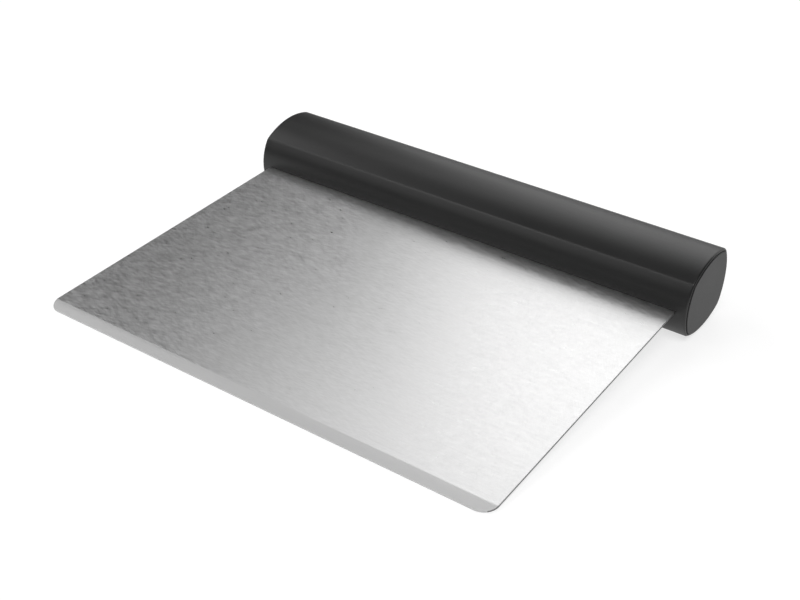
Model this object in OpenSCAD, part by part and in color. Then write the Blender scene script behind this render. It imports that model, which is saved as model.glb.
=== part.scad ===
// Wide flat scraper: a steel blade held in a moulded handle that runs along its back edge.
// Each sub-part is drawn with the blade lying flat: X runs along the handle, Y from the
// front edge to the handle, and Z = 0 is the middle of the blade's thickness.
// set_down() then lays the tool on the floor, on its front edge and the handle's belly.

/* [Blade] */
// Width of the blade along its front edge
blade_w = 150; // [110:1:220]
// Blade in front of the handle, from the front edge to the handle's flank
blade_reach = 100.3; // [60:0.1:140]
// Thickness of the sheet
blade_t = 0.7; // [0.4:0.05:1.2]
// Radius of the two front corners
corner_r = 4.5; // [1:0.1:12]
// Width of the ground strip along the front edge
bevel_w = 5; // [2:0.1:12]
// Thickness left at the front edge
edge_t = 0.35; // [0.1:0.01:0.38]
// Depth of the sheet inside the handle
tang_depth = 20; // [18:0.1:21]

/* [Handle outline] */
// Handle past each side of the blade
handle_over = 3.4; // [2.5:0.1:8]
// Depth of the handle, from the crown of its front flank to its back
handle_d = 28.3; // [26:0.1:34]
// Height of the handle between its two domes
handle_h = 24.3; // [22:0.1:32]
// Height of the front flank between its two ridges
ridge_h = 17.9; // [14:0.1:20]
// Bulge of the front flank in front of the ridges
flank_bulge = 3.1; // [1:0.1:4]
// From the ridges back to the highest line of the domes
dome_back = 12.1; // [9:0.1:14]
// Radius of the rounded back
back_r = 18.7; // [15:0.1:26]

/* [Grip] */
// Wall of the moulded sleeve
grip_wall = 2.4; // [1.4:0.1:3]
// Rim of the sleeve that stays round each end cap
rim_w = 0.6; // [0.4:0.05:1.2]
// Clearance round the blade in the slot
slot_gap = 0.1; // [0.05:0.01:0.3]

/* [End caps] */
// Thickness of the cap's plate
cap_t = 2; // [1:0.1:3]
// How far the plate stands out of the rim
cap_proud = 0.3; // [0:0.05:1]
// Open joint between the cap and the rim
cap_gap = 0.2; // [0.1:0.05:0.6]
// Radius of the two pegs on each cap
peg_r = 2; // [1.2:0.1:2.5]
// Length of the pegs
peg_len = 8; // [4:0.1:12]
// Clearance round the pegs
peg_gap = 0.05; // [0.02:0.01:0.2]

/* [Core] */
// Outer wall of each core half
core_skin = 2.2; // [1.4:0.1:2.6]
// Thickness of the cross ribs
rib_t = 2; // [1:0.1:3]
// Number of open bays between the end blocks
bay_count = 9; // [7:2:11]
// Clearance between the core and what lies against it
core_gap = 0.1; // [0.02:0.01:0.2]

/* [Rivets] */
// Radius of the rivet's shank
rivet_r = 2; // [1:0.1:2.4]
// Clearance round the rivet
rivet_gap = 0.1; // [0.02:0.01:0.2]
// Radius of the rivet's heads
head_r = 3.6; // [2.8:0.1:4]
// Thickness of the rivet's heads
head_t = 1.4; // [0.8:0.1:1.8]
// Depth of the heads below the core's skin
head_sink = 0.6; // [0.4:0.05:1]
// Wall of the boss round each head's recess
boss_wall = 1; // [0.6:0.1:1.2]
// Bays from one rivet to the next
rivet_bays = 3; // [1:1:3]

/* [Hidden] */
$fn = 96;
// One overrun past the faces that every cut goes through
cut = 1;
steel = [0.72, 0.73, 0.74];
rivet_metal = [0.62, 0.62, 0.63];
grip_black = [0.08, 0.08, 0.085];
cap_black = [0.12, 0.12, 0.125];
core_grey = [0.25, 0.25, 0.26];

// Outline of the handle: four discs, whose shared area is the section. The flank's disc also
// takes the sharp point off the back corners.
ridge_y = blade_reach + flank_bulge;
flank_r = (pow(ridge_h / 2, 2) + pow(flank_bulge, 2)) / (2 * flank_bulge);
dome_rise = (handle_h - ridge_h) / 2;
dome_r = (pow(dome_back, 2) + pow(dome_rise, 2)) / (2 * dome_rise);
dome_y = ridge_y + dome_back;
dome_z = dome_r - handle_h / 2;
back_y = blade_reach + handle_d;

// Handle and what it holds, along X
handle_len = blade_w + 2 * handle_over;
cap_seat = cap_t - cap_proud;
core_len = handle_len - 2 * cap_seat;
core_inset = grip_wall + core_gap;
core_half_h = handle_h / 2 - core_inset;
end_block = peg_len + core_skin;
bay_pitch = (core_len - 2 * end_block + rib_t) / bay_count;
bay_len = bay_pitch - rib_t;
rivet_pitch = rivet_bays * bay_pitch;
head_seat_z = core_half_h - head_sink - head_t;
peg_z = core_half_h / 2;
tang_y = blade_reach + tang_depth;

// Set-down on the floor: a line from the blade's lower front edge touches the lower dome
edge_top_z = edge_t - blade_t / 2;
belly_far = norm([dome_y, dome_z + blade_t / 2]);
rest_tilt = asin(dome_r / belly_far) - atan2(dome_z + blade_t / 2, dome_y);
front_y = -edge_top_z * sin(rest_tilt);
rear_y = (back_y - back_r) * cos(rest_tilt) + back_r;
mid_y = (front_y + rear_y) / 2;
lift = blade_t / 2 * cos(rest_tilt);

// Lays the tool on the floor, with the origin under the middle of its box
module set_down() {
    translate([0, -mid_y, lift])
        rotate([rest_tilt, 0, 0])
            children();
}

// Extrudes a Y-Z outline along X, centred
module along_x(len) {
    translate([-len / 2, 0, 0])
        rotate([90, 0, 90])
            linear_extrude(len)
                children();
}

// Section of the handle, drawn in by a given wall
module section(inset) {
    intersection() {
        translate([blade_reach + flank_r, 0])
            circle(flank_r - inset);
        translate([dome_y, -dome_z])
            circle(dome_r - inset);
        translate([dome_y, dome_z])
            circle(dome_r - inset);
        translate([back_y - back_r, 0])
            circle(back_r - inset);
    }
}

// What is taken off one front corner of the blade, at the corner's own origin
module corner_notch() {
    difference() {
        translate([0, -corner_r - cut])
            square(corner_r + cut);
        circle(corner_r);
    }
}

// Plan of the sheet, from the front edge to the end of the tang
module blade_plan() {
    difference() {
        translate([-blade_w / 2, 0])
            square([blade_w, tang_y]);
        for (side = [0, 1])
            mirror([side, 0])
                translate([blade_w / 2 - corner_r, corner_r])
                    corner_notch();
    }
}

// Wedge ground off the upper side along the front edge
module ground_strip() {
    slope = (blade_t - edge_t) / bevel_w;
    along_x(blade_w + 2 * cut)
        polygon([
            [bevel_w + cut, blade_t / 2 + slope * cut],
            [-cut, edge_top_z - slope * cut],
            [-cut, blade_t / 2 + cut],
            [bevel_w + cut, blade_t / 2 + cut]
        ]);
}

// Puts a copy of its child at each rivet
module at_rivets() {
    for (i = [-1, 0, 1])
        translate([i * rivet_pitch, dome_y, 0])
            children();
}

module blade() {
    color(steel) set_down()
        difference() {
            translate([0, 0, -blade_t / 2])
                linear_extrude(blade_t)
                    blade_plan();
            ground_strip();
            at_rivets()
                cylinder(r = rivet_r + rivet_gap, h = blade_t + 2 * cut, center = true);
        }
}

// Open bays between the cross ribs, from the parting plane up to the skin
module bays() {
    for (i = [0 : bay_count - 1])
        translate([(i - (bay_count - 1) / 2) * bay_pitch, 0, 0])
            along_x(bay_len)
                section(core_inset + core_skin);
}

// The half of the core that lies above the blade
module core_half() {
    difference() {
        union() {
            difference() {
                along_x(core_len)
                    section(core_inset);
                bays();
            }
            intersection() {
                at_rivets()
                    cylinder(r = head_r + boss_wall, h = handle_h, center = true);
                along_x(core_len)
                    section(core_inset);
            }
        }
        // Everything below the parting plane
        translate([-core_len / 2 - cut, blade_reach, -handle_h])
            cube([core_len + 2 * cut, handle_d, handle_h]);
        // Seat of the tang
        translate([-blade_w / 2 - core_gap, 0, -cut])
            cube([blade_w + 2 * core_gap, tang_y + core_gap, blade_t / 2 + cut + core_gap]);
        // Rivet holes and the recesses of their heads
        at_rivets() {
            cylinder(r = rivet_r + rivet_gap, h = handle_h, center = true);
            translate([0, 0, head_seat_z])
                cylinder(r = head_r + rivet_gap, h = handle_h);
        }
        // Sockets of the end caps' pegs
        for (side = [-1, 1])
            translate([side * core_len / 2, dome_y, peg_z])
                rotate([0, 90, 0])
                    cylinder(r = peg_r + peg_gap, h = 2 * (peg_len + peg_gap), center = true);
    }
}

module core_upper() {
    color(core_grey) set_down()
        core_half();
}

module core_lower() {
    color(core_grey) set_down()
        mirror([0, 0, 1])
            core_half();
}

// One rivet with both heads formed, at a place along the handle
module rivet(place) {
    color(rivet_metal) set_down()
        translate([place * rivet_pitch, dome_y, 0]) {
            cylinder(r = rivet_r, h = 2 * head_seat_z + head_t, center = true);
            for (side = [0, 1])
                mirror([0, 0, side])
                    translate([0, 0, head_seat_z])
                        cylinder(r = head_r, h = head_t);
        }
}

module grip() {
    color(grip_black) set_down()
        difference() {
            along_x(handle_len)
                section(0);
            along_x(handle_len + 2 * cut)
                section(grip_wall);
            // Rebates that take the end caps
            for (side = [-1, 1])
                translate([side * handle_len / 2, 0, 0])
                    along_x(2 * cap_seat)
                        section(rim_w);
            // Slot of the blade, closed at both ends
            translate([-blade_w / 2 - slot_gap, blade_reach - cut, -blade_t / 2 - slot_gap])
                cube([blade_w + 2 * slot_gap, dome_back, blade_t + 2 * slot_gap]);
        }
}

// End cap with its two pegs, on the side that +X points to
module end_cap() {
    translate([(core_len + cap_t) / 2, 0, 0])
        along_x(cap_t)
            section(rim_w + cap_gap);
    for (side = [-1, 1])
        translate([core_len / 2 - peg_len, dome_y, side * peg_z])
            rotate([0, 90, 0])
                cylinder(r = peg_r, h = peg_len + cap_t / 2);
}

module end_cap_left() {
    color(cap_black) set_down()
        mirror([1, 0, 0])
            end_cap();
}

module end_cap_right() {
    color(cap_black) set_down()
        end_cap();
}

blade();
core_upper();
core_lower();
rivet(-1);  // rivet_left
rivet(0);  // rivet_middle
rivet(1);  // rivet_right
grip();
end_cap_left();
end_cap_right();
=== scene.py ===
import math

import bmesh
import bpy
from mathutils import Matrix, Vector


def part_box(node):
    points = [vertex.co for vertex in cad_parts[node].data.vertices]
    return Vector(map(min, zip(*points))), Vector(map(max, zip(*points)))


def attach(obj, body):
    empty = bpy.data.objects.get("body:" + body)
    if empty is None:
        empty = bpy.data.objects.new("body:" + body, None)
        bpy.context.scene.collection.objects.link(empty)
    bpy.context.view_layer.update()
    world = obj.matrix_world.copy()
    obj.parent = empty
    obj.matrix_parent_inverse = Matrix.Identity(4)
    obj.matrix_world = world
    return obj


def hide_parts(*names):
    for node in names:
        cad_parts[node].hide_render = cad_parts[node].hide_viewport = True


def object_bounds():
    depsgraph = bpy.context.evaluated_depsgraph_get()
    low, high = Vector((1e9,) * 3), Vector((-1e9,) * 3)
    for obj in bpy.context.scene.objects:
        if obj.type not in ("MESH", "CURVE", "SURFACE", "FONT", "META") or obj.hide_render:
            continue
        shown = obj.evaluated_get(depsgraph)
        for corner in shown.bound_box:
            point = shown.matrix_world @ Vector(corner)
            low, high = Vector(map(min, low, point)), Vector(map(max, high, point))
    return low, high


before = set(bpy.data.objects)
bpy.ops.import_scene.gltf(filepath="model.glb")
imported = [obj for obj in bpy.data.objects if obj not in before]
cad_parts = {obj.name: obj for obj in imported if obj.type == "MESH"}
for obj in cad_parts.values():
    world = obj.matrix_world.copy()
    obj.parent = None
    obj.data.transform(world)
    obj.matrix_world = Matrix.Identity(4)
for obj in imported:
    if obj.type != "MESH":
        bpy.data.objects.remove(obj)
cad_low, cad_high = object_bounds()


# Blade
# One sheet of stainless steel with two round front corners. It is brushed along its width, and
# its upper side is ground down to a blunt front edge. The tang runs on into the handle, where
# three rivets hold it.
MM = 0.001
blade_w = 150 * MM
blade_reach = 100.3 * MM
blade_t = 0.7 * MM
corner_r = 4.5 * MM
ground_w = 5 * MM
edge_t = 0.35 * MM
tang_depth = 20 * MM
blade_edge_round = 0.06 * MM
corner_steps = 14
rivet_r = 2 * MM
rivet_gap = 0.1 * MM
# Two points closer than this are one
tiny = 0.01 * MM
# Cosines past which a direction counts as roughly, or as exactly, along another
roughly = 0.9
exactly = 0.999
tang_y = blade_reach + tang_depth
edge_top_z = edge_t - blade_t / 2
ground_slope = (blade_t - edge_t) / ground_w

# Every piece is drawn with the blade lying flat and its front edge at y = 0, and then laid down
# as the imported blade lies, on its front edge and the handle's belly.
sheet_face = max(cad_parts["blade"].data.polygons, key=lambda face: face.area).normal
rest_tilt = math.atan2(abs(sheet_face.y), abs(sheet_face.z))
tool_origin = Vector((
    0,
    cad_low.y + edge_top_z * math.sin(rest_tilt),
    cad_low.z + blade_t / 2 * math.cos(rest_tilt),
))


def add_box(name, low, high):
    """A box between two corners, left selected alone and active."""
    bpy.ops.object.select_all(action="DESELECT")
    middle = [(a + b) / 2 for a, b in zip(low, high)]
    size = [b - a for a, b in zip(low, high)]
    bpy.ops.mesh.primitive_cube_add(size=1, location=middle, scale=size)
    bpy.ops.object.transform_apply(location=True, rotation=True, scale=True)
    bpy.context.object.name = name
    return bpy.context.object


def add_rod(name, middle, radius, length, axis, sides=48):
    """A straight rod along Z or X, left selected alone and active."""
    bpy.ops.object.select_all(action="DESELECT")
    turn = (0, math.pi / 2, 0) if axis == "X" else (0, 0, 0)
    bpy.ops.mesh.primitive_cylinder_add(
        vertices=sides, radius=radius, depth=length, location=middle, rotation=turn)
    bpy.ops.object.transform_apply(location=True, rotation=True, scale=True)
    bpy.context.object.name = name
    return bpy.context.object


def choose(kind, test):
    """In edit mode, selects what passes a test of its middle and its direction or normal."""
    bpy.ops.mesh.select_mode(type=kind)
    bpy.ops.mesh.select_all(action="DESELECT")
    mesh = bmesh.from_edit_mesh(bpy.context.edit_object.data)
    if kind == "EDGE":
        for edge in mesh.edges:
            a, b = (v.co for v in edge.verts)
            edge.select = test((a + b) / 2, (b - a).normalized())
    else:
        for face in mesh.faces:
            face.select = test(face.calc_center_median(), face.normal)
    mesh.select_flush_mode()
    bmesh.update_edit_mesh(bpy.context.edit_object.data)


def carve(piece, tool, way="DIFFERENCE"):
    """Cuts a tool out of a piece, or adds it, and removes the tool."""
    bpy.ops.object.select_all(action="DESELECT")
    piece.select_set(True)
    bpy.context.view_layer.objects.active = piece
    cut = piece.modifiers.new("cut", "BOOLEAN")
    cut.operation = way
    cut.solver = "EXACT"
    cut.object = tool
    bpy.ops.object.modifier_apply(modifier=cut.name)
    bpy.data.objects.remove(tool)


def soften(piece, width, segments=2, angle=30):
    """Rounds a piece's sharp edges and lets its large faces keep their flat shading."""
    bpy.ops.object.select_all(action="DESELECT")
    piece.select_set(True)
    bpy.context.view_layer.objects.active = piece
    if width:
        rounding = piece.modifiers.new("rounding", "BEVEL")
        rounding.width = width
        rounding.segments = segments
        rounding.limit_method = "ANGLE"
        rounding.angle_limit = math.radians(angle)
        bpy.ops.object.modifier_apply(modifier=rounding.name)
    bpy.ops.object.shade_smooth_by_angle(angle=math.radians(angle))
    weights = piece.modifiers.new("weights", "WEIGHTED_NORMAL")
    weights.keep_sharp = True
    bpy.ops.object.modifier_apply(modifier=weights.name)


def lay_down(piece):
    """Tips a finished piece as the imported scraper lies, and applies its place to its mesh."""
    bpy.ops.object.select_all(action="DESELECT")
    piece.select_set(True)
    bpy.context.view_layer.objects.active = piece
    piece.rotation_euler = (rest_tilt, 0, 0)
    piece.location = tool_origin
    bpy.ops.object.transform_apply(location=True, rotation=True, scale=True)


blade = add_box("blade_sheet", (-blade_w / 2, 0, -blade_t / 2), (blade_w / 2, tang_y, blade_t / 2))
bpy.ops.object.mode_set(mode="EDIT")
choose("EDGE", lambda middle, way: abs(way.z) > roughly and middle.y < ground_w)
bpy.ops.mesh.bevel(offset=corner_r, segments=corner_steps)
bpy.ops.mesh.select_all(action="SELECT")
bpy.ops.mesh.bisect(
    plane_co=(0, ground_w, blade_t / 2), plane_no=(0, -ground_slope, 1),
    use_fill=True, clear_outer=True)
bpy.ops.object.mode_set(mode="OBJECT")
# The rivets stand on the highest line of the handle's domes
dome_back = 12.1 * MM
flank_bulge = 3.1 * MM
ridge_y = blade_reach + flank_bulge
dome_y = ridge_y + dome_back
rivets_x = [
    sum((corner.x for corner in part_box(name)), 0) / 2
    for name in ("rivet_left", "rivet_middle", "rivet_right")
]
for x in rivets_x:
    carve(blade, add_rod("hole", (x, dome_y, 0), rivet_r + rivet_gap, 2 * blade_t, "Z"))
soften(blade, blade_edge_round)
lay_down(blade)


def new_material(name, color, metallic, roughness):
    """A material with its shader, ready for the piece's own nodes."""
    material = bpy.data.materials.new(name)
    material.use_nodes = True
    shader = material.node_tree.nodes["Principled BSDF"]
    shader.inputs["Base Color"].default_value = (*color, 1)
    shader.inputs["Metallic"].default_value = metallic
    shader.inputs["Roughness"].default_value = roughness
    return material, material.node_tree, shader


def add_node(tree, kind, *given):
    """A node whose inputs take, in order, another node's output, a value, or nothing."""
    node = tree.nodes.new(kind)
    for socket, value in zip(node.inputs, given):
        if isinstance(value, bpy.types.NodeSocket):
            tree.links.new(value, socket)
        elif value is not None:
            socket.default_value = value
    return node


def add_step(tree, operation, *given):
    """One step of arithmetic, as its result."""
    node = add_node(tree, "ShaderNodeMath", *given)
    node.operation = operation
    return node.outputs["Value"]


def add_noise(tree, vector, scale, detail, roughness):
    """Noise over the surface, about 0.5 on average."""
    noise = add_node(tree, "ShaderNodeTexNoise", vector, None, scale, detail, roughness)
    return noise.outputs["Fac"]


def add_streaks(tree, vector, length, width, slant):
    """Noise drawn out along X and turned in the plane of the sheet."""
    turn = add_node(tree, "ShaderNodeCombineXYZ", 0, 0, slant)
    size = add_node(tree, "ShaderNodeCombineXYZ", length, width, width)
    place = add_node(tree, "ShaderNodeMapping", vector, None, turn.outputs[0], size.outputs[0])
    place.vector_type = "TEXTURE"
    return add_noise(tree, place.outputs["Vector"], scale=1, detail=2, roughness=0.5)


def add_patches(tree, vector, size, detail, roughness):
    """Noise in patches of about one size, zero on average."""
    scale = add_step(tree, "DIVIDE", 1, size)
    return add_step(tree, "SUBTRACT", add_noise(tree, vector, scale, detail, roughness), 0.5)


def add_tint(tree, color, change, amount):
    """A colour made lighter and darker by a change that is zero on average."""
    tint = add_node(tree, "ShaderNodeVectorMath", color)
    tint.operation = "SCALE"
    brightness = add_step(tree, "MULTIPLY_ADD", change, amount, 1)
    tree.links.new(brightness, tint.inputs["Scale"])
    return tint.outputs["Vector"]


def new_group(name, inputs, outputs):
    """A shader node group with float inputs beside its place and colour, and its two ends."""
    group = bpy.data.node_groups.new(name, "ShaderNodeTree")
    group.interface.new_socket("Vector", in_out="INPUT", socket_type="NodeSocketVector")
    group.interface.new_socket("Color", in_out="INPUT", socket_type="NodeSocketColor")
    for label in inputs:
        group.interface.new_socket(label, in_out="INPUT", socket_type="NodeSocketFloat")
    group.interface.new_socket("Color", in_out="OUTPUT", socket_type="NodeSocketColor")
    for label in outputs:
        group.interface.new_socket(label, in_out="OUTPUT", socket_type="NodeSocketFloat")
    given = group.nodes.new("NodeGroupInput").outputs
    result = group.nodes.new("NodeGroupOutput").inputs
    return group, given, result


def place_group(tree, shader, group, depth, values):
    """Places a group in a material, and feeds the shader its colour, roughness and bump."""
    node = tree.nodes.new("ShaderNodeGroup")
    node.node_tree = group
    place = tree.nodes.new("ShaderNodeTexCoord")
    tree.links.new(place.outputs["Object"], node.inputs["Vector"])
    node.inputs["Color"].default_value = shader.inputs["Base Color"].default_value
    node.inputs["Roughness"].default_value = shader.inputs["Roughness"].default_value
    for label, value in values.items():
        node.inputs[label].default_value = value
    bump = tree.nodes.new("ShaderNodeBump")
    bump.inputs["Distance"].default_value = depth
    tree.links.new(node.outputs["Height"], bump.inputs["Height"])
    tree.links.new(node.outputs["Color"], shader.inputs["Base Color"])
    tree.links.new(node.outputs["Roughness"], shader.inputs["Roughness"])
    tree.links.new(bump.outputs["Normal"], shader.inputs["Normal"])


# Brushing: short crossed strokes, fine hairlines between them, and the faint cloud of handling.
# The hairlines' sizes are multiples of the strokes', and the roughest spot of the steel's own.
hairline_length = 8
hairline_width = 0.25
roughest = 1.12
brushing, given, result = new_group("brushing", (
    "Roughness", "Stroke Length", "Stroke Width", "Slant", "Stroke Change", "Hairline Change",
    "Cloud Size", "Cloud Change", "Color Change"), ("Roughness", "Height"))
tree = brushing
strokes = [
    add_streaks(
        tree, given["Vector"], given["Stroke Length"], given["Stroke Width"],
        add_step(tree, "MULTIPLY", given["Slant"], side))
    for side in (-1, 1)
]
# Each noise is 0.5 on average, and what is taken off brings strokes and hairlines to zero
stroke = add_step(tree, "SUBTRACT", add_step(tree, "ADD", *strokes), 1)
hairline = add_step(tree, "SUBTRACT", add_streaks(
    tree, given["Vector"], add_step(tree, "MULTIPLY", given["Stroke Length"], hairline_length),
    add_step(tree, "MULTIPLY", given["Stroke Width"], hairline_width), 0), 0.5)
cloud = add_patches(tree, given["Vector"], given["Cloud Size"], detail=3, roughness=0.55)
grain = add_step(tree, "MULTIPLY_ADD", stroke, given["Stroke Change"], add_step(
    tree, "MULTIPLY", hairline, given["Hairline Change"]))
rough = add_step(tree, "ADD", given["Roughness"], add_step(
    tree, "MULTIPLY_ADD", cloud, given["Cloud Change"], grain))
# Spots that are much rougher would show as dark specks
most = add_step(tree, "MULTIPLY", given["Roughness"], roughest)
tree.links.new(add_step(tree, "MINIMUM", rough, most), result["Roughness"])
height = add_step(tree, "ADD", stroke, hairline)
tree.links.new(add_tint(tree, given["Color"], height, given["Color Change"]), result["Color"])
tree.links.new(height, result["Height"])

steel_grey = (0.62, 0.62, 0.62)
# The cut edges' grey is darker than the steel, to paint the shade along the sheet's edges
cut_and_shaded_grey = (0.2, 0.2, 0.2)
brushed_steel, tree, shader = new_material("brushed_sheet", steel_grey, metallic=1, roughness=0.34)
place_group(tree, shader, brushing, depth=0.002 * MM, values={
    "Stroke Length": 3 * MM, "Stroke Width": 0.72 * MM, "Slant": math.radians(17),
    "Stroke Change": 0.17, "Hairline Change": 0.02, "Cloud Size": 30 * MM, "Cloud Change": 0.005,
    "Color Change": 0.22,
})
ground_steel, tree, shader = new_material("ground_strip", steel_grey, metallic=1, roughness=0.5)
place_group(tree, shader, brushing, depth=0.0005 * MM, values={
    "Stroke Length": 8 * MM, "Stroke Width": 0.3 * MM, "Slant": math.radians(2),
    "Stroke Change": 0.06, "Hairline Change": 0.08, "Cloud Size": 20 * MM, "Cloud Change": 0.03,
    "Color Change": 0.05,
})
# The cut sides' steel: its dark grey is painted shade on the sheet's edges
cut_shaded_steel, tree, shader = new_material("cut_side_painted_shade", cut_and_shaded_grey, metallic=1, roughness=0.5)
place_group(tree, shader, brushing, depth=0.001 * MM, values={
    "Stroke Length": 0.3 * MM, "Stroke Width": 0.3 * MM, "Slant": 0, "Stroke Change": 0.12,
    "Hairline Change": 0, "Cloud Size": 10 * MM, "Cloud Change": 0.05, "Color Change": 0.15,
})
for material in (brushed_steel, ground_steel, cut_shaded_steel):
    blade.data.materials.append(material)
# The strip and the front edge are ground, and the other edges are as cut, in a dark grey that is
# painted shade along the sheet's edges. The strip leans so little from the sheet's face that only
# the last cosine tells them apart.
facing_front = 0.7
on_edge = 0.5
level = 0.9995
ground_slot = 1
cut_shade_slot = 2
upwards = Vector((0, -math.sin(rest_tilt), math.cos(rest_tilt)))
ahead = Vector((0, -math.cos(rest_tilt), -math.sin(rest_tilt)))
for face in blade.data.polygons:
    lean = face.normal.dot(upwards)
    if face.normal.dot(ahead) > facing_front or on_edge < lean < level:
        face.material_index = ground_slot
    elif abs(lean) < on_edge:
        face.material_index = cut_shade_slot
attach(blade, "root")
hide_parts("blade")


# Core and rivets
# Two ribbed halves of stiff plastic close over the tang from above and below, and three
# aluminium rivets hold them together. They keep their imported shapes, since the grip hides them.

# Moulding: a fine eroded grain, flow clouds and faint rub marks along the handle
rub_length = 14 * MM
rub_width = 0.35 * MM
rub_least = 0.6
rub_most = 0.75
moulding, given, result = new_group("moulding", (
    "Roughness", "Grain Size", "Grain Change", "Cloud Size", "Cloud Change", "Rub Change",
    "Color Change"), ("Roughness", "Height"))
tree = moulding
grain = add_patches(tree, given["Vector"], given["Grain Size"], detail=2, roughness=0.6)
cloud = add_patches(tree, given["Vector"], given["Cloud Size"], detail=3, roughness=0.55)
# Only the strongest of the long streaks are rub marks, from 0 to 1
rub = add_node(
    tree, "ShaderNodeMapRange", add_streaks(tree, given["Vector"], rub_length, rub_width, 0),
    rub_least, rub_most, 0, 1).outputs["Result"]
change = add_step(tree, "MULTIPLY_ADD", grain, given["Grain Change"], add_step(
    tree, "MULTIPLY", cloud, given["Cloud Change"]))
rough = add_step(tree, "ADD", given["Roughness"], add_step(
    tree, "MULTIPLY_ADD", rub, given["Rub Change"], change))
faded = add_step(tree, "ADD", cloud, rub)
tree.links.new(rough, result["Roughness"])
tree.links.new(add_tint(tree, given["Color"], faded, given["Color Change"]), result["Color"])
tree.links.new(grain, result["Height"])

core_grey = (0.08, 0.08, 0.085)
core_plastic, tree, shader = new_material("core_nylon", core_grey, metallic=0, roughness=0.5)
place_group(tree, shader, moulding, depth=0.01 * MM, values={
    "Grain Size": 0.4 * MM, "Grain Change": 0.1, "Cloud Size": 12 * MM, "Cloud Change": 0.1,
    "Rub Change": 0, "Color Change": 0.3,
})
for name in ("core_upper", "core_lower"):
    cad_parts[name].data.materials.clear()
    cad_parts[name].data.materials.append(core_plastic)
alloy_grey = (0.6, 0.6, 0.61)
rivet_metal, tree, shader = new_material("rivet_alloy", alloy_grey, metallic=1, roughness=0.35)
place_group(tree, shader, brushing, depth=0.001 * MM, values={
    "Stroke Length": 0.6 * MM, "Stroke Width": 0.4 * MM, "Slant": math.radians(40),
    "Stroke Change": 0.15, "Hairline Change": 0.05, "Cloud Size": 3 * MM, "Cloud Change": 0.1,
    "Color Change": 0.1,
})
for name in ("rivet_left", "rivet_middle", "rivet_right"):
    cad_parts[name].data.materials.clear()
    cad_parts[name].data.materials.append(rivet_metal)


# Grip
# The black sleeve is moulded over the core in one piece: two domes that meet the flat front
# flank in soft ridges, a round back, and a slot that the blade comes out of.
handle_over = 3.4 * MM
handle_d = 28.3 * MM
handle_h = 24.3 * MM
ridge_h = 17.9 * MM
back_r = 18.7 * MM
grip_wall = 2.4 * MM
rim_w = 0.6 * MM
slot_gap = 0.1 * MM
cap_t = 2 * MM
cap_proud = 0.3 * MM
back_round = 5 * MM
ridge_round = 0.45 * MM
rim_round = 0.5 * MM
rim_lip = 0.06 * MM
slot_overrun = 2 * MM
# How many flat strips each curve is made of
dome_steps = 22
rear_steps = 7
back_steps = 16
flank_steps = 16
ridge_steps = 6
rim_steps = 5
lip_steps = 3
handle_len = blade_w + 2 * handle_over
flank_r = ((ridge_h / 2) ** 2 + flank_bulge ** 2) / (2 * flank_bulge)
dome_rise = (handle_h - ridge_h) / 2
dome_r = (dome_back ** 2 + dome_rise ** 2) / (2 * dome_rise)
dome_z = dome_r - handle_h / 2
back_y = blade_reach + handle_d
# The section's arcs, as the place of each centre in Y and Z, and the radius
flank = (Vector((blade_reach + flank_r, 0)), flank_r)
upper_dome = (Vector((dome_y, -dome_z)), dome_r)
lower_dome = (Vector((dome_y, dome_z)), dome_r)
back = (Vector((back_y - back_r, 0)), back_r)
front_top, front_low = Vector((-1, 1)), Vector((-1, -1))
rear_top, rear_low = Vector((1, 1)), Vector((1, -1))


def meet(first, second, inset, toward):
    """Where two arcs meet once both are drawn in by a wall: the point furthest in a direction."""
    (a, ra), (b, rb) = first, second
    ra, rb = ra - inset, rb - inset
    gap = b - a
    along = (ra ** 2 - rb ** 2 + gap.length_squared) / (2 * gap.length)
    off = math.sqrt(ra ** 2 - along ** 2)
    foot = a + gap.normalized() * along
    across = Vector((-gap.y, gap.x)).normalized() * off
    return max(foot + across, foot - across, key=lambda point: point.dot(toward))


def touch(arc, rounding, inset):
    """Where a rounded corner runs into an arc that it touches, once both are drawn in."""
    out = (rounding[0] - arc[0]).normalized()
    return rounding[0] + out * (rounding[1] - inset)


def add_section(name, inset, x):
    """The handle's outline at one place along X: a single point, spun about each arc's centre."""
    rear_upper = (meet(upper_dome, back, back_round, rear_top), back_round)
    rear_lower = (meet(lower_dome, back, back_round, rear_low), back_round)
    arcs = [
        (upper_dome, dome_steps), (rear_upper, rear_steps), (back, back_steps),
        (rear_lower, rear_steps), (lower_dome, dome_steps), (flank, flank_steps)]
    corners = [
        meet(flank, upper_dome, inset, front_top), touch(upper_dome, rear_upper, inset),
        touch(back, rear_upper, inset), touch(back, rear_lower, inset),
        touch(lower_dome, rear_lower, inset), meet(lower_dome, flank, inset, front_low),
    ]
    # A small plane, merged into the first point
    bpy.ops.object.select_all(action="DESELECT")
    bpy.ops.mesh.primitive_plane_add(size=MM, location=(x, *corners[0]))
    bpy.ops.object.transform_apply(location=True, rotation=True, scale=True)
    bpy.context.object.name = name
    bpy.ops.object.mode_set(mode="EDIT")
    bpy.ops.mesh.select_mode(type="VERT")
    bpy.ops.mesh.select_all(action="SELECT")
    bpy.ops.mesh.merge(type="CENTER")
    for i, ((centre, radius), steps) in enumerate(arcs):
        start, end = corners[i] - centre, corners[(i + 1) % len(corners)] - centre
        angle = math.atan2(start.y * end.x - start.x * end.y, start.dot(end))
        bpy.ops.mesh.spin(steps=steps, angle=angle, center=(x, *centre), axis=(1, 0, 0))
    bpy.ops.mesh.select_all(action="SELECT")
    bpy.ops.mesh.remove_doubles(threshold=tiny)
    return bpy.context.object


def close_ends(*places):
    """Fills the open outlines at these places along X, and turns every face outwards."""
    for x in places:
        choose("EDGE", lambda middle, way: abs(middle.x - x) < tiny)
        bpy.ops.mesh.edge_face_add()
    bpy.ops.mesh.select_all(action="SELECT")
    bpy.ops.mesh.normals_make_consistent(inside=False)


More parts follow.
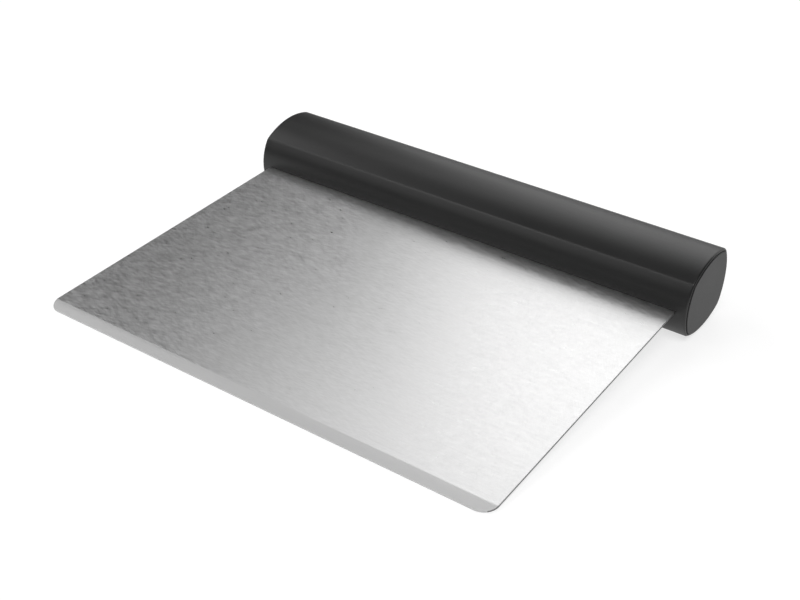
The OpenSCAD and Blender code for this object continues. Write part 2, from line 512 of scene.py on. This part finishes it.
grip = add_section("grip_sleeve", 0, -handle_len / 2)
bpy.ops.mesh.extrude_region_move(TRANSFORM_OT_translate={"value": (handle_len, 0, 0)})
close_ends(-handle_len / 2, handle_len / 2)
ridges = [meet(flank, upper_dome, 0, front_top), meet(flank, lower_dome, 0, front_low)]
choose("EDGE", lambda middle, way: abs(way.x) > roughly and min(
    (middle.yz - ridge).length for ridge in ridges) < tiny)
bpy.ops.mesh.bevel(offset=ridge_round, segments=ridge_steps)
# Each end gets its round rim, the rebate of the end cap and the step to the hollow
cap_seat = cap_t - cap_proud
hollow_x = handle_len / 2 - cap_seat
for end in (-1, 1):
    choose("FACE", lambda middle, normal: end * normal.x > roughly)
    bpy.ops.mesh.region_to_loop()
    bpy.ops.mesh.bevel(offset=rim_round, segments=rim_steps)
    choose("FACE", lambda middle, normal: end * normal.x > exactly)
    bpy.ops.mesh.inset(thickness=rim_w - rim_round - rim_lip)
    # The rim's inner lip turns down into the rebate over a quarter circle
    lip_depth = 0
    for i in range(lip_steps):
        step = math.pi / 2 / lip_steps
        width = rim_lip * (math.sin((i + 1) * step) - math.sin(i * step))
        depth = rim_lip * (math.cos(i * step) - math.cos((i + 1) * step))
        bpy.ops.mesh.inset(thickness=width, depth=-depth)
        lip_depth += depth
    bpy.ops.mesh.extrude_region_move(
        TRANSFORM_OT_translate={"value": (-end * (cap_seat - lip_depth), 0, 0)})
    bpy.ops.mesh.inset(thickness=grip_wall - rim_w)
# What is left of the two end faces goes, and the hollow's wall joins their outlines
choose("FACE", lambda middle, normal: (
    abs(normal.x) > exactly and (middle.yz - Vector((dome_y, 0))).length < dome_back / 2))
bpy.ops.mesh.delete(type="ONLY_FACE")
bpy.ops.mesh.select_mode(type="EDGE")
bpy.ops.mesh.select_non_manifold()
bpy.ops.mesh.bridge_edge_loops()
bpy.ops.object.mode_set(mode="OBJECT")
carve(grip, add_box(
    "slot", (-blade_w / 2 - slot_gap, blade_reach - slot_overrun, -blade_t / 2 - slot_gap),
    (blade_w / 2 + slot_gap, dome_y, blade_t / 2 + slot_gap)))
soften(grip, 0)
lay_down(grip)
grip_black = (0.006, 0.006, 0.006)
grip_plastic, tree, shader = new_material("moulded_black", grip_black, metallic=0, roughness=0.38)
place_group(tree, shader, moulding, depth=0.004 * MM, values={
    "Grain Size": 0.35 * MM, "Grain Change": 0.08, "Cloud Size": 18 * MM, "Cloud Change": 0.06,
    "Rub Change": -0.05, "Color Change": 0.4,
})
grip.data.materials.append(grip_plastic)
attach(grip, "root")
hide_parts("grip")


# End caps
# A flat plate closes each end of the grip inside its rim, with an open joint round it, and two
# pegs press it into the core.
cap_gap = 0.2 * MM
peg_r = 2 * MM
peg_len = 8 * MM
core_gap = 0.1 * MM
cap_round = 0.25 * MM
cap_steps = 4
cap_sheen = 0.35
peg_z = (handle_h / 2 - grip_wall - core_gap) / 2
peg_low = hollow_x - peg_len
peg_high = hollow_x + cap_t / 2
cap_black = (0.016, 0.016, 0.016)
cap_plastic, tree, shader = new_material("cap_black", cap_black, metallic=0, roughness=0.5)
shader.inputs["Specular IOR Level"].default_value = cap_sheen
place_group(tree, shader, moulding, depth=0.006 * MM, values={
    "Grain Size": 0.3 * MM, "Grain Change": 0.1, "Cloud Size": 9 * MM, "Cloud Change": 0.06,
    "Rub Change": 0, "Color Change": 0.3,
})
for side, name in ((-1, "end_cap_left"), (1, "end_cap_right")):
    cap = add_section(name + "_plate", rim_w + cap_gap, side * hollow_x)
    bpy.ops.mesh.extrude_region_move(TRANSFORM_OT_translate={"value": (side * cap_t, 0, 0)})
    close_ends(side * hollow_x, side * (hollow_x + cap_t))
    bpy.ops.object.mode_set(mode="OBJECT")
    for z in (-peg_z, peg_z):
        peg_middle = (side * (peg_low + peg_high) / 2, dome_y, z)
        carve(cap, add_rod("peg", peg_middle, peg_r, peg_high - peg_low, "X"), "UNION")
    soften(cap, cap_round, segments=cap_steps)
    lay_down(cap)
    cap.data.materials.append(cap_plastic)
    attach(cap, "root")
    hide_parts(name)


# Studio
# A pale floor, and eight softboxes on a dome round the scraper. The large ones behind give the
# blade its long sweep from grey to white, and the one on the right touches the grip's rim.
floor_size = 2.0
floor_glow = 0.71
floor_seen = (0.38, 0.38, 0.38, 1)
floor_bounce = (0.85, 0.85, 0.85, 1)
bpy.ops.object.select_all(action="DESELECT")
bpy.ops.mesh.primitive_plane_add(size=floor_size, location=(0, 0, cad_low.z))
floor = bpy.context.object
floor.name = "floor"
# The camera and the gloss see a white floor with its shadows, and other light meets a pale one
floor_paint = bpy.data.materials.new("floor_paint")
floor_paint.use_nodes = True
tree = floor_paint.node_tree
tree.nodes.clear()
rays = tree.nodes.new("ShaderNodeLightPath").outputs
seen_or_glossed = add_step(tree, "MAXIMUM", rays["Is Camera Ray"], rays["Is Glossy Ray"])
looked_at = add_step(tree, "MAXIMUM", seen_or_glossed, rays["Is Transmission Ray"])
bounce = add_node(tree, "ShaderNodeBsdfDiffuse", floor_bounce)
shade = add_node(tree, "ShaderNodeBsdfDiffuse", floor_seen)
glow = add_node(tree, "ShaderNodeEmission", None, floor_glow)
white = add_node(tree, "ShaderNodeAddShader", shade.outputs["BSDF"], glow.outputs["Emission"])
floor_face = add_node(
    tree, "ShaderNodeMixShader", looked_at, bounce.outputs["BSDF"], white.outputs["Shader"])
add_node(tree, "ShaderNodeOutputMaterial", floor_face.outputs["Shader"])
floor.data.materials.append(floor_paint)

lamp_distance = 1.8


def add_softbox(name, azimuth, elevation, width, height, power):
    """A softbox that faces the scraper, turned from straight behind it towards the left."""
    round_turn, rise = math.radians(azimuth), math.radians(elevation)
    place = lamp_distance * Vector((
        -math.sin(round_turn) * math.cos(rise),
        math.cos(round_turn) * math.cos(rise),
        math.sin(rise),
    ))
    bpy.ops.object.light_add(type="AREA", location=place)
    lamp = bpy.context.object
    lamp.name = name
    lamp.data.shape = "RECTANGLE"
    lamp.data.size = width
    lamp.data.size_y = height
    lamp.data.energy = power
    lamp.rotation_euler = (-place).to_track_quat("-Z", "Y").to_euler()


add_softbox("back_low", 10, 20, 1.45, 0.51, 3.5)
add_softbox("back_main", 18, 38, 0.90, 0.63, 3.0)
add_softbox("back_high", 25, 56, 1.31, 0.77, 4.65)
add_softbox("left_side", 90, 40, 0.90, 0.77, 6.0)
add_softbox("front_fill", 150, 28, 1.03, 0.90, 4.2)
add_softbox("front_high", -145, 60, 1.20, 1.00, 17)
add_softbox("ridge_light", 137, 49, 0.75, 0.45, 2.9)
add_softbox("right_back", -24, 22, 0.60, 0.75, 3.0)

# Past the floor's edge the camera sees white
world = bpy.data.worlds.new("studio")
bpy.context.scene.world = world
world.use_nodes = True
tree = world.node_tree
background = tree.nodes["Background"]
background.inputs["Color"].default_value = (1, 1, 1, 1)
rays = tree.nodes.new("ShaderNodeLightPath")
tree.links.new(rays.outputs["Is Camera Ray"], background.inputs["Strength"])

# Camera
# It looks down over the blade's front right corner from the photograph's viewing angle, and is
# rolled by about three degrees, as the photograph is.
camera_place = (0.18235, -0.27195, 0.19022)
camera_turn = (60.145, -3.187, 35.006)
camera_lens = 57.32
bpy.ops.object.camera_add(
    location=camera_place, rotation=[math.radians(angle) for angle in camera_turn])
camera = bpy.context.object
camera.data.sensor_width = 36
camera.data.lens = camera_lens
camera.data.clip_start = 0.01
bpy.context.scene.camera = camera
bpy.context.scene.view_settings.view_transform = "Standard"
